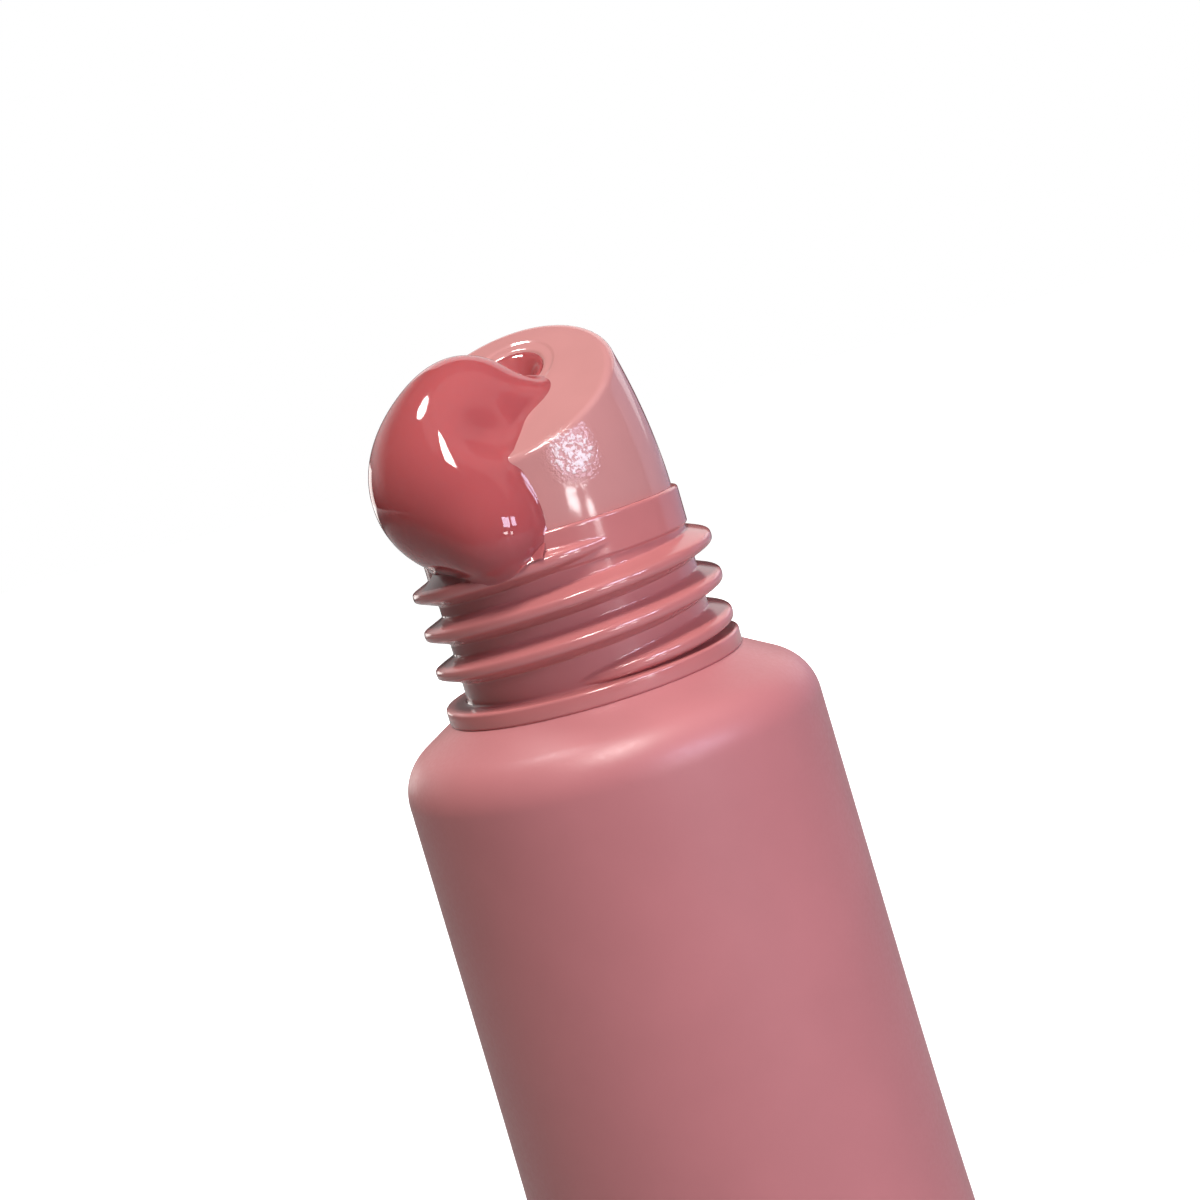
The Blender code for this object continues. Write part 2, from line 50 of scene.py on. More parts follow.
SLEEVE_RADIUS = 9.5 * MM
SLEEVE_WALL = 0.45 * MM
SLEEVE_LENGTH = 62.2 * MM
SHOULDER_CORNER = 2.3 * MM
SHOULDER_SLOPE = math.radians(30)
HOLE_RADIUS = 6.35 * MM
SEAL_HEIGHT = 4.5 * MM
SEAL_ROOM = 0.1 * MM
SEAL_MARGIN = 0.9 * MM
RIB_PITCH = 1.0 * MM
GROOVE_WIDTH = 0.4 * MM
GROOVE_DEPTH = 0.1 * MM
WEDGE_SHARE = 0.09
FLATTENING_POWER = 4.5

HEAD_DISC = 0.9 * MM
HEAD_SKIRT = 1.6 * MM
HEAD_EDGE = 0.14 * MM
RING_RADIUS = 6.75 * MM
RING_RISE = 0.45 * MM
NECK_HEIGHT = 6.7 * MM
ROOT_RADIUS = 5.725 * MM
LAND_RADIUS = 5.85 * MM
LAND_HEIGHT = 1.7 * MM
BORE_RADIUS = 4.3 * MM
THREAD_RADIUS = 6.7 * MM
THREAD_PITCH = 1.75 * MM
THREAD_RISE = 0.22 * MM
THREAD_SINK = 0.1 * MM
THREAD_TURNS = 3.1
THREAD_START = math.radians(-82.5)
CREST_WIDTH = 0.42 * MM
FOOT_WIDTH = 1.3 * MM

TIP_BASE_RADIUS = 5.6 * MM
TIP_CROWN_RADIUS = 3.8 * MM
TIP_HEIGHT = 6.2 * MM
TIP_SLANT = math.radians(30)
TIP_SWELL_POWER = 1.8
TIP_RIM_RADIUS = 0.5 * MM
ORIFICE_RADIUS = 1.5 * MM
ORIFICE_OFFSET = 0.75 * MM
ORIFICE_LAND = 2.6 * MM
PLUG_RADIUS = BORE_RADIUS - FIT_GAP
PLUG_LENGTH = 4.2 * MM
PLUG_WALL = 0.9 * MM
PLUG_LEAD = 0.3 * MM
SNAP_HEIGHT = 0.16 * MM
SNAP_LENGTH = 0.9 * MM
SNAP_RISE = 1.0 * MM

# How fine the pieces are
WELD = 0.001 * MM
SLEEVE_AROUND = 576
SLEEVE_ROWS = 44
HEAD_AROUND = 320
TIP_AROUND = 256
TIP_ROWS = 40
NECK_STEP = 0.045 * MM
EDGE_STEPS = 6
CORNER_STEPS = 8
HALVINGS = 40
SHARP_ANGLE = math.radians(40)


# ---------------------------------------------------------------- meshes


def skin(rings, joined=False):
    """A sheet of quads laid over rings of as many points each. The rings close on
    themselves, and the last one joins the first where that is asked for."""
    around, rows = len(rings[0]), len(rings) - (0 if joined else 1)
    shape = bmesh.new()
    bmesh.ops.create_grid(shape, x_segments=around, y_segments=rows, size=0.5)
    for v in shape.verts:
        column = round((v.co.x + 0.5) * around) % around
        row = round((v.co.y + 0.5) * rows) % len(rings)
        v.co = rings[row][column]
    return closed(shape)


def closed(shape):
    """The same shape with its seams welded and its faces outwards."""
    bmesh.ops.remove_doubles(shape, verts=shape.verts, dist=WELD)
    bmesh.ops.recalc_face_normals(shape, faces=shape.faces)
    return shape


def piece(name, shape, node, material):
    """A finished piece, which takes the place of a packed one where it is given a node."""
    mesh = bpy.data.meshes.new(name)
    shape.to_mesh(mesh)
    shape.free()
    mesh.materials.append(material)
    mesh.shade_smooth()
    mesh.set_sharp_from_angle(angle=SHARP_ANGLE)
    made = bpy.data.objects.new(name, mesh)
    bpy.context.scene.collection.objects.link(made)
    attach(made, "root")
    if node:
        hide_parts(node)


def ring(radius, height, count, centre_y=0.0):
    return [
        Vector((radius * math.cos(FULL_TURN * i / count),
                centre_y + radius * math.sin(FULL_TURN * i / count), height))
        for i in range(count)
    ]


def smooth_step(value):
    value = min(1.0, max(0.0, value))
    return value * value * (3 - 2 * value)


def smooth_most(a, b, soft):
    """The larger of two values, with the corner between them rounded."""
    close = max(0.0, soft - abs(a - b)) / soft
    return max(a, b) + close * close * soft / 4


def arc(centre, radius, start, end, steps):
    """Points of a rounded corner in a half section, as radius and height."""
    return [
        (centre[0] + radius * math.cos(start + (end - start) * k / steps),
         centre[1] + radius * math.sin(start + (end - start) * k / steps))
        for k in range(steps + 1)
    ]


# ---------------------------------------------------------------- sleeve

# The seal's rounded lower edge, and the width over which a groove's wall goes down
SEAL_EDGE = 0.08 * MM
GROOVE_SOFT = 0.1 * MM
# Half depth of the ellipse that the seal's outline is cut from, and the share of its half
# thickness beyond which a point is on its flat side
SEAL_ELLIPSE = 3 * SLEEVE_WALL
FLAT_SHARE = 0.98
# The seal's rows: the lowest, those around a groove's end, along a groove, and the highest
LOW_ROW = 0.4 * MM
END_ROW = 0.05 * MM
GROOVE_ROW = 0.45 * MM
HIGH_ROW = 0.5 * MM
# Steps of the shoulder's corner and cone, outside and inside the wall
OUTER_SHOULDER = (20, 6)
INNER_SHOULDER = (8, 2)


def girth(a, b):
    return math.pi * (3 * (a + b) - math.sqrt((3 * a + b) * (a + 3 * b)))


def section(height):
    """Half width and half depth of the middle of the sleeve's wall, of constant girth."""
    middle = SLEEVE_RADIUS - SLEEVE_WALL / 2
    flat = SLEEVE_WALL / 2 + SEAL_ROOM
    way_down = (SLEEVE_LENGTH - height) / (SLEEVE_LENGTH - SEAL_HEIGHT)
    flatness = WEDGE_SHARE * way_down + (1 - WEDGE_SHARE) * way_down**FLATTENING_POWER
    depth = middle - (middle - flat) * flatness
    low, high = depth, FULL_TURN * middle / 4
    for _ in range(HALVINGS):
        width = (low + high) / 2
        if girth(width, depth) < FULL_TURN * middle:
            low = width
        else:
            high = width
    return width, depth


SEAL_HALF_WIDTH = section(SEAL_HEIGHT)[0] + SLEEVE_WALL / 2


def even(xs, ys, height, count):
    """A closed outline with its points spread evenly along it."""
    steps = np.hypot(np.diff(np.append(xs, xs[0])), np.diff(np.append(ys, ys[0])))
    reached = np.concatenate(([0.0], np.cumsum(steps)))
    places = reached[-1] * np.arange(count) / count
    x = np.interp(places, reached, np.append(xs, xs[0]))
    y = np.interp(places, reached, np.append(ys, ys[0]))
    return [Vector((a, b, height)) for a, b in zip(x, y)]


def flat_ring(a, b, height, most=None):
    """An ellipse, or one cut off flat at a half depth."""
    angles = np.linspace(0, FULL_TURN, 4 * SLEEVE_AROUND, endpoint=False)
    ys = b * np.sin(angles)
    if most:
        ys = np.clip(ys, -most, most)
    return even(a * np.cos(angles), ys, height, SLEEVE_AROUND)


def groove(x, height):
    """Share of a groove's depth at a place on the seal."""
    last = math.floor((SEAL_HALF_WIDTH - SEAL_MARGIN - GROOVE_WIDTH / 2) / RIB_PITCH)
    off = abs(x - max(-last, min(last, round(x / RIB_PITCH))) * RIB_PITCH)
    across = smooth_step((GROOVE_WIDTH / 2 + GROOVE_SOFT / 2 - off) / GROOVE_SOFT)
    up = smooth_step((height - SEAL_MARGIN) / GROOVE_SOFT + 0.5)
    down = smooth_step((SEAL_HEIGHT - SEAL_MARGIN - height) / GROOVE_SOFT + 0.5)
    return across * up * down


def seal_ring(inwards, height):
    return flat_ring(SEAL_HALF_WIDTH - inwards, SEAL_ELLIPSE, height, SLEEVE_WALL - inwards)


def seal_rings():
    """The sealed band from the middle of its edge up, with the grooves of its ribs."""
    rings = [seal_ring(SEAL_EDGE, 0.0)]
    for point in rings[0]:
        point.y = 0.0
    rings += [seal_ring(SEAL_EDGE, 0.0), seal_ring(SEAL_EDGE / 4, SEAL_EDGE / 4)]
    heights = [SEAL_EDGE, LOW_ROW]
    heights += [SEAL_MARGIN + k * END_ROW for k in (-1, 0, 1)]
    heights += [SEAL_MARGIN + k * GROOVE_ROW for k in (1, 2, 3, 4, 5)]
    heights += [SEAL_HEIGHT - SEAL_MARGIN + k * END_ROW for k in (-1, 0, 1)]
    heights += [SEAL_HEIGHT - HIGH_ROW, SEAL_HEIGHT - SEAL_ROOM]
    for height in heights:
        made = seal_ring(0.0, height)
        for point in made:
            if abs(point.y) > SLEEVE_WALL * FLAT_SHARE:
                point.y -= math.copysign(GROOVE_DEPTH * groove(point.x, height), point.y)
        rings.append(made)
    return rings


def side_rings(outwards):
    rings = []
    for row in range(SLEEVE_ROWS):
        height = SEAL_HEIGHT + (SLEEVE_LENGTH - SEAL_HEIGHT) * row / SLEEVE_ROWS
        a, b = section(height)
        rings.append(flat_ring(a + outwards, b + outwards, height))
    return rings


def cone_height(inwards, radius):
    """Height of the shoulder's cone at a radius, or of one that lies inwards of it."""
    last = math.pi / 2 - SHOULDER_SLOPE
    reach = SHOULDER_CORNER - inwards
    start = SLEEVE_RADIUS - SHOULDER_CORNER + reach * math.cos(last)
    return SLEEVE_LENGTH + reach * math.sin(last) + (start - radius) * math.tan(SHOULDER_SLOPE)


def shoulder(inwards, radius, steps, cone_steps=1):
    """Half section of the shoulder: its round corner, and its cone in to a radius."""
    centre = (SLEEVE_RADIUS - SHOULDER_CORNER, SLEEVE_LENGTH)
    points = arc(centre, SHOULDER_CORNER - inwards, 0.0, math.pi / 2 - SHOULDER_SLOPE, steps)
    start = points[-1][0]
    for k in range(1, cone_steps + 1):
        here = start + (radius - start) * k / cone_steps
        points.append((here, cone_height(inwards, here)))
    return points


def sleeve_shape():
    rings = seal_rings() + side_rings(SLEEVE_WALL / 2)
    outside = shoulder(0.0, HOLE_RADIUS, *OUTER_SHOULDER)
    inside = shoulder(SLEEVE_WALL, HOLE_RADIUS, *INNER_SHOULDER)
    rings += [ring(r, z, SLEEVE_AROUND) for r, z in outside + inside[::-1]]
    rings += reversed(side_rings(-SLEEVE_WALL / 2))
    last = rings[-1]
    rings.append([Vector((p.x, 0.0, SEAL_HEIGHT - SEAL_ROOM / 2)) for p in last])
    return skin(rings)


# ---------------------------------------------------------------- head

# The thread tapers out over this turn, and its foot narrows by this power of its height
THREAD_RUN_OUT = math.radians(60)
RUN_OUT_POWER = 0.6
# How far the crest falls off to its sides, and the roundings of the crest and of the foot
CREST_FALL = 0.35
CREST_SOFT = 0.16 * MM
THREAD_SOFT = 0.1 * MM
# Only what is higher than this below the ring's top can belong to the thread
THREAD_LOWEST = 0.3 * MM
# Hair gaps by which the ring clears the shoulder and the tip's skin clears the neck
RING_HAIR = 0.01 * MM
TIP_HAIR = 0.005 * MM

RING_FOOT = cone_height(0.0, RING_RADIUS) + RING_HAIR
RING_TOP = cone_height(0.0, HOLE_RADIUS) + FIT_GAP / math.cos(SHOULDER_SLOPE) + RING_RISE
NECK_TOP = RING_TOP + NECK_HEIGHT
TIP_BASE = NECK_TOP + FIT_GAP
TIP_FOOT = NECK_TOP + TIP_HAIR
SNAP_FOOT = NECK_TOP - PLUG_LENGTH + SNAP_RISE


def head_outline():
    """Half section of the head, from the bore's mouth down its outside and back up."""
    slot = HOLE_RADIUS - FIT_GAP
    under = SLEEVE_WALL + FIT_GAP
    skirt_foot = SLEEVE_LENGTH - HEAD_SKIRT
    quarter = math.pi / 2
    edge = HEAD_EDGE
    land_foot = NECK_TOP - LAND_HEIGHT
    points = [(BORE_RADIUS, NECK_TOP), (LAND_RADIUS - 3 * edge, NECK_TOP)]
    points += arc((LAND_RADIUS - edge, NECK_TOP - edge), edge, quarter, 0.0, EDGE_STEPS)
    height = NECK_TOP - edge - NECK_STEP
    while height > RING_TOP + 4 * edge / 3:
        share = smooth_step((height - land_foot) / edge + 0.5)
        points.append((ROOT_RADIUS + (LAND_RADIUS - ROOT_RADIUS) * share, height))
        height -= NECK_STEP
    points += arc((ROOT_RADIUS + edge, RING_TOP + edge), edge, 2 * quarter, 3 * quarter, 5)
    points += [(ROOT_RADIUS + (RING_RADIUS - ROOT_RADIUS) * k / 6, RING_TOP) for k in (2, 3, 4)]
    points += arc((RING_RADIUS - edge, RING_TOP - edge), edge, quarter, 0.0, EDGE_STEPS)
    points += arc((RING_RADIUS - edge, RING_FOOT + edge), edge, 0.0, -quarter, EDGE_STEPS)
    points.append((slot, cone_height(-FIT_GAP, slot)))
    points += reversed(shoulder(under, slot, CORNER_STEPS))
    points.append((SLEEVE_RADIUS - under, skirt_foot))
    points.append((SLEEVE_RADIUS - under - HEAD_DISC, skirt_foot))
    points += shoulder(under + HEAD_DISC, BORE_RADIUS, CORNER_STEPS)
    points += [
        (BORE_RADIUS, SNAP_FOOT),
        (BORE_RADIUS + SNAP_HEIGHT, SNAP_FOOT + SNAP_LENGTH / 2),
        (BORE_RADIUS, SNAP_FOOT + SNAP_LENGTH),
    ]
    return points


def thread_radius(angle, height):
    """How far out the thread reaches at a place on the neck, or 0 off it."""
    best = 0.0
    last = FULL_TURN * THREAD_TURNS
    foot = ROOT_RADIUS - THREAD_SINK
    slope = (THREAD_RADIUS - foot) / ((FOOT_WIDTH - CREST_WIDTH) / 2)
    gone = (angle - THREAD_START) % FULL_TURN
    while gone <= last:
        middle = RING_TOP + THREAD_RISE + THREAD_PITCH * gone / FULL_TURN
        off = abs(height - middle)
        if off < FOOT_WIDTH:
            whole = min(1.0, gone / THREAD_RUN_OUT, (last - gone) / THREAD_RUN_OUT)
            fade = math.sin(whole * math.pi / 2)
            crest = foot + (THREAD_RADIUS - foot) * fade
            flank = foot + (FOOT_WIDTH * fade**RUN_OUT_POWER / 2 - off) * slope
            top = crest - CREST_FALL * off * off / CREST_WIDTH
            best = max(best, -smooth_most(-flank, -top, CREST_SOFT))
        gone += FULL_TURN
    return best


def head_shape():
    shape = bmesh.new()
    corners = [shape.verts.new((r, 0.0, z)) for r, z in head_outline()]
    edges = [shape.edges.new(pair) for pair in zip(corners, corners[1:] + corners[:1])]
    bmesh.ops.spin(
        shape, geom=corners + edges, cent=(0, 0, 0), axis=(0, 0, 1), dvec=(0, 0, 0),
        angle=FULL_TURN, steps=HEAD_AROUND, use_merge=True, use_duplicate=False,
    )
    for v in shape.verts:
        radius = math.hypot(v.co.x, v.co.y)
        if radius > ROOT_RADIUS - THREAD_SOFT / 2 and v.co.z > RING_TOP - THREAD_LOWEST:
            wanted = thread_radius(math.atan2(v.co.y, v.co.x), v.co.z)
            if wanted > radius - THREAD_SOFT:
                grown = smooth_most(radius, wanted, THREAD_SOFT) / radius
                v.co.x *= grown
                v.co.y *= grown
    return closed(shape)


# ---------------------------------------------------------------- tip

RIM_STEPS = 10
# How far down the side is looked at for its direction at the rim
RIM_PROBE = 0.05 * MM
# Rows of the slanted face, and how far around the orifice its flat part ends
FACE_ROWS = 6
LIP_OUT = 0.62 * MM
# The recess around the orifice, its edge and its wall: millimetres outwards and down
RECESS = (
    (0.55, 0.012), (0.5, 0.045), (0.44, 0.06), (0.3, 0.06), (0.2, 0.065), (0.12, 0.08),
    (0.05, 0.12), (0.0, 0.2), (0.0, 0.6),
)
# The balm left in the orifice: millimetres in from the wall and down, how far down it goes,
# and how far its hollow lies beside the middle
LEFT_BALM = (
    (0.0, 0.14), (0.06, 0.12), (0.14, 0.13), (0.3, 0.2), (0.5, 0.34), (0.7, 0.52),
    (0.9, 0.72), (1.1, 0.9), (1.3, 1.02), (1.5, 1.06),
)
LEFT_BALM_DEPTH = 1.4 * MM
HOLLOW_SHIFT = 0.45 * MM


def slant_height(y):
    return TIP_BASE + TIP_HEIGHT + y * math.tan(TIP_SLANT)


def tip_radius(height):
    full = TIP_HEIGHT + TIP_BASE_RADIUS * math.tan(TIP_SLANT)
    share = max(0.0, (height - TIP_BASE) / full)
    return TIP_BASE_RADIUS - (TIP_BASE_RADIUS - TIP_CROWN_RADIUS) * share**TIP_SWELL_POWER


def rim_arc(angle, steps):
    """Rounded edge between side and slanted face, as radius and height, side first."""
    low, high = TIP_BASE, slant_height(2 * TIP_BASE_RADIUS)
    for _ in range(HALVINGS):
        top = (low + high) / 2
        if top < slant_height(tip_radius(top) * math.sin(angle)):
            low = top
        else:
            high = top
    corner = Vector((tip_radius(top), top))
    down = (Vector((tip_radius(top - RIM_PROBE), top - RIM_PROBE)) - corner).normalized()
    inwards = Vector((-1, -math.tan(TIP_SLANT) * math.sin(angle))).normalized()
    opening = down.angle(inwards)
    centre = corner + (down + inwards).normalized() * TIP_RIM_RADIUS / math.sin(opening / 2)
    start = corner + down * TIP_RIM_RADIUS / math.tan(opening / 2) - centre
    end = corner + inwards * TIP_RIM_RADIUS / math.tan(opening / 2) - centre
    sweep = math.pi - opening
    points = []
    for k in range(steps + 1):
        before, after = (1 - k / steps) * sweep, k / steps * sweep
        both = start * math.sin(before) + end * math.sin(after)
        points.append(centre + both / math.sin(sweep))
    return points


def tip_skin():
    """Rings up the tip's side and around its rim."""
    columns = []
    for i in range(TIP_AROUND):
        angle = FULL_TURN * i / TIP_AROUND
        rim = rim_arc(angle, RIM_STEPS)
        heights = [TIP_FOOT + (rim[0].y - TIP_FOOT) * row / TIP_ROWS for row in range(TIP_ROWS)]
        points = [(tip_radius(height), height) for height in heights]
        points += [tuple(point) for point in rim]
        columns.append([Vector((r * math.cos(angle), r * math.sin(angle), z)) for r, z in points])
    return [list(made) for made in zip(*columns)]


def orifice_ring(radius, sunk):
    made = ring(radius, 0.0, TIP_AROUND, ORIFICE_OFFSET)
    for point in made:
        point.z = slant_height(point.y) - sunk
    return made


def tip_shape():
    """The tip from its plug's foot up its outside, over the face and down the channel."""
    plug_foot = TIP_BASE - PLUG_LENGTH
    channel_foot = slant_height(ORIFICE_OFFSET) - ORIFICE_LAND
    inside = PLUG_RADIUS - PLUG_WALL
    n = TIP_AROUND
    rings = [
        ring(inside, plug_foot, n),
        ring(PLUG_RADIUS - PLUG_LEAD, plug_foot, n),
        ring(PLUG_RADIUS, plug_foot + PLUG_LEAD, n),
        ring(PLUG_RADIUS, SNAP_FOOT, n),
        ring(PLUG_RADIUS + SNAP_HEIGHT, SNAP_FOOT + SNAP_LENGTH / 2, n),
        ring(PLUG_RADIUS, SNAP_FOOT + SNAP_LENGTH, n),
        ring(PLUG_RADIUS, TIP_FOOT, n),
    ]
    rings += tip_skin()
    face = rings[-1]
    lip = orifice_ring(ORIFICE_RADIUS + LIP_OUT, 0.0)
    for k in range(1, FACE_ROWS):
        rings.append([a.lerp(b, k / FACE_ROWS) for a, b in zip(face, lip)])
    rings.append(lip)
    for out, sunk in RECESS:
        rings.append(orifice_ring(ORIFICE_RADIUS + out * MM, sunk * MM))
    rings.append(ring(ORIFICE_RADIUS, channel_foot, n, ORIFICE_OFFSET))
    rings.append(ring(inside, TIP_BASE, n))
    return skin(rings, joined=True)


def orifice_balm_shape():
    """The balm that is left in the orifice, drawn down into a hollow beside its middle."""
    rings = [orifice_ring(0.0, LEFT_BALM_DEPTH), orifice_ring(ORIFICE_RADIUS, LEFT_BALM_DEPTH)]
    for inwards, sunk in LEFT_BALM:
        made = orifice_ring(ORIFICE_RADIUS - inwards * MM, sunk * MM)
        for point in made:
            point.x += HOLLOW_SHIFT * smooth_step(inwards / LEFT_BALM[-1][0])
        rings.append(made)
    return skin(rings)


# ---------------------------------------------------------------- bead, in millimetres

BEAD_HEADING = math.radians(218)
BEAD_MIDDLE = (-2.285, -1.785, 75.97)
# Places that the middle of the balm runs through, away along the heading, across and up, and
# its radius there: out of the orifice, over the rim and down the tip's side
BEAD_SPINE = (
    (-3.5, 1.2, 1.45, 1.3),
    (-2.0, 0.7, 1.35, 1.9),
    (-0.65, -0.1, 2.25, 2.5),
    (0.65, 0.15, -0.35, 3.95),
    (0.95, 1.75, -1.4, 3.25),
    (1.1, 3.95, -3.15, 2.1),
)
# Balls from one place of the spine to the next
BEAD_STEPS = 4
# How closely the balm's skin follows its spine, and how many balls a place counts as its own
BEAD_TIGHTNESS = 4.0
BEAD_OVERLAP = 4.0
# The hollow that the balm leaves in the orifice: its middle, its radius and its rounding
HOLLOW = (0.9, 0.72, 79.3)
HOLLOW_RADIUS = 0.85
HOLLOW_SOFT = 0.12
# A shallow dent where the balm folds over the rim: its middle, its depth and its width
DENT = (-0.05, -5.0, 77.2)
DENT_DEPTH = 0.55
DENT_WIDTH = 1.15
# How far the bead's bed lies under the surfaces that it sticks to, how far its skin sinks
# into them at its edge, and the rounding with which it is drawn up to them
BEAD_SINK = 0.09
BEAD_LIP = 0.04
MENISCUS = 0.35
# How near to its sunk edge the skin counts as past it
EDGE_ROOM = 0.02
# How steep the thread's last pass is above its crest, and how high that flank is followed
STRAND_STEEPNESS = 2.2
STRAND_REACH = 1.0
# How far past its crown the tip's swelling is followed
SWELL_END = 1.6
# Height inside the tip from which the whole bead is seen, and the middle of the view of it
BEAD_ROOT_HEIGHT = 3.2
BEAD_ROOT = (0.0, 0.0, TIP_BASE / MM + BEAD_ROOT_HEIGHT)
BEAD_VIEW_RISE = math.radians(22)
BEAD_AROUND = 288
BEAD_RINGS = 240
# How the skin is looked for: from how far, in how many steps and by which share of the way
BEAD_REACH = 14.0
MARCH_STEPS = 45
MARCH_SHARE = 0.85
# How the edge is looked for: in steps of this angle, and then by halving the last one
SCAN_STEP = math.radians(3)
SCAN_STEPS = 50
EDGE_HALVINGS = 12


def soft_least(a, b, soft):
    close = np.maximum(0.0, soft - np.abs(a - b)) / soft
    return np.minimum(a, b) - close * close * soft / 4


def core_distance(p):
    """About how far points are outside the neck and the tip."""
    x, y, z = p[:, 0], p[:, 1], p[:, 2]
    base, top = TIP_BASE / MM, NECK_TOP / MM
    radius = np.hypot(x, y)
    full = (TIP_HEIGHT + TIP_BASE_RADIUS * math.tan(TIP_SLANT)) / MM
    share = np.clip((z - base) / full, 0.0, SWELL_END)
    swell = (TIP_BASE_RADIUS - TIP_CROWN_RADIUS) / MM * share**TIP_SWELL_POWER
    side = radius - (TIP_BASE_RADIUS / MM - swell)
    slant = (z - (base + TIP_HEIGHT / MM) - y * math.tan(TIP_SLANT)) * math.cos(TIP_SLANT)
    rim = TIP_RIM_RADIUS / MM
    over = np.hypot(np.maximum(side + rim, 0), np.maximum(slant + rim, 0)) - rim
    tip = over + np.minimum(np.maximum(side + rim, slant + rim), 0.0)
    land = np.maximum(radius - LAND_RADIUS / MM, z - top)
    angle = np.arctan2(y, x)
    whole = FULL_TURN * THREAD_TURNS
    last_pass = np.mod(angle - THREAD_START - whole, FULL_TURN) - FULL_TURN
    strand = (RING_TOP + THREAD_RISE + THREAD_PITCH * (whole + last_pass) / FULL_TURN) / MM
    crest = THREAD_RADIUS / MM
    above = z - strand - CREST_WIDTH / 2 / MM
    flank = (radius - crest + STRAND_STEEPNESS * above) / math.hypot(1, STRAND_STEEPNESS)
    thread = np.maximum(radius - crest, np.maximum(flank, above - STRAND_REACH))
    return np.minimum(tip, np.minimum(land, thread))


def bead_chain():
    """Middles and radii of balls along a smooth curve through the places of the spine."""
    knots = np.array(BEAD_SPINE)
    knots = np.vstack([2 * knots[0] - knots[1], knots, 2 * knots[-1] - knots[-2]])
    places = []
    for before, start, end, after in zip(knots, knots[1:], knots[2:], knots[3:]):
        for t in np.arange(BEAD_STEPS) / BEAD_STEPS:
            bend = 2 * before - 5 * start + 4 * end - after
            twist = 3 * start - before - 3 * end + after
            places.append(start + ((end - before) * t + bend * t**2 + twist * t**3) / 2)
    places = np.array(places + [knots[-2]])
    heading = np.array((math.cos(BEAD_HEADING), math.sin(BEAD_HEADING), 0.0))
    axes = np.array((heading, (-heading[1], heading[0], 0.0), (0.0, 0.0, 1.0)))
    return np.array(BEAD_MIDDLE) + places[:, :3] @ axes, places[:, 3]


BALLS = bead_chain()


def balm_distance(p):
    """About how far points are outside the balm that has run out."""
    middles, radii = BALLS
    squares = (p**2).sum(1)[:, None] - 2 * p @ middles.T + (middles**2).sum(1)
    away = np.sqrt(np.maximum(squares, 0.0)) - radii
    least = away.min(1)
    crowd = np.exp(-BEAD_TIGHTNESS * (away - least[:, None])).sum(1)
    field = least - np.log(crowd / BEAD_OVERLAP) / BEAD_TIGHTNESS
    field += DENT_DEPTH * np.exp(-((p - np.array(DENT)) ** 2).sum(1) / DENT_WIDTH**2)
    hollow = np.linalg.norm(p - np.array(HOLLOW), axis=1) - HOLLOW_RADIUS
    return -soft_least(-field, hollow, HOLLOW_SOFT)


def skin_distance(p):
    """The same for the bead's skin, which is drawn up to the tip and neck around its edge."""
    return soft_least(balm_distance(p), core_distance(p) + BEAD_LIP, MENISCUS)


def drawn_in(ways, reach, outside):
    """Reaches that come in along each way towards the bead's root until outside is 0."""
    for _ in range(MARCH_STEPS):
        here = outside(np.array(BEAD_ROOT) + ways * reach[:, None])
        reach = np.maximum(reach - np.maximum(here, 0.0) * MARCH_SHARE, 0.0)
    return reach


def bead_ways(turned, tilted):
    """Ways out from the root: tilted from the middle of the view, and turned around it."""
    level = np.array((math.cos(BEAD_HEADING), math.sin(BEAD_HEADING), 0.0))
    middle = level * math.cos(BEAD_VIEW_RISE) + np.array((0.0, 0.0, math.sin(BEAD_VIEW_RISE)))
    side = np.array((-level[1], level[0], 0.0))
    up = np.cross(middle, side)
    around = np.outer(np.cos(turned), side) + np.outer(np.sin(turned), up)
    return np.outer(np.cos(tilted), middle) + around * np.sin(tilted)[:, None]


def bead_skin(turned, tilted):
    ways = bead_ways(turned, tilted)
    return ways, drawn_in(ways, np.full(len(ways), BEAD_REACH), skin_distance)


def past_edge(turned, tilted):
    """Whether the skin has sunk into the tip or the neck there."""
    ways, reach = bead_skin(turned, tilted)
    return core_distance(np.array(BEAD_ROOT) + ways * reach[:, None]) < EDGE_ROOM - BEAD_LIP


def bead_edge(turned):
    """How far from the middle of the view the bead's edge is, at each turn around it."""
    low = np.zeros(len(turned))
    found = np.zeros(len(turned), bool)
    for _ in range(SCAN_STEPS):
        found |= past_edge(turned, low + SCAN_STEP)
        low = np.where(found, low, low + SCAN_STEP)
    high = low + SCAN_STEP
    for _ in range(EDGE_HALVINGS):
        middle = (low + high) / 2
        over = past_edge(turned, middle)
        low, high = np.where(over, low, middle), np.where(over, middle, high)
    return low


def bead_shape():
    """A ball whose upper half becomes the bead's skin and whose lower half lies in the tip."""
    shape = bmesh.new()
    bmesh.ops.create_uvsphere(shape, u_segments=BEAD_AROUND, v_segments=BEAD_RINGS, radius=1.0)
    ball = np.array([tuple(v.co) for v in shape.verts])
    turned = np.arctan2(ball[:, 1], ball[:, 0])
    from_pole = np.arccos(np.clip(np.abs(ball[:, 2]), 0.0, 1.0)) / (math.pi / 2)
    around = np.round(turned / FULL_TURN * BEAD_AROUND).astype(int) % BEAD_AROUND
    edge = bead_edge(np.arange(BEAD_AROUND) * FULL_TURN / BEAD_AROUND)[around]
    ways, reach = bead_skin(turned, edge * from_pole)
    bed = drawn_in(ways, reach, lambda p: core_distance(p) + BEAD_SINK)
    half_ring = 0.5 * math.pi / BEAD_RINGS
    reach = np.where(ball[:, 2] < -half_ring, bed, reach)
    for v, place in zip(shape.verts, (np.array(BEAD_ROOT) + ways * reach[:, None]) * MM):
        v.co = place
    return closed(shape)


# ---------------------------------------------------------------- materials

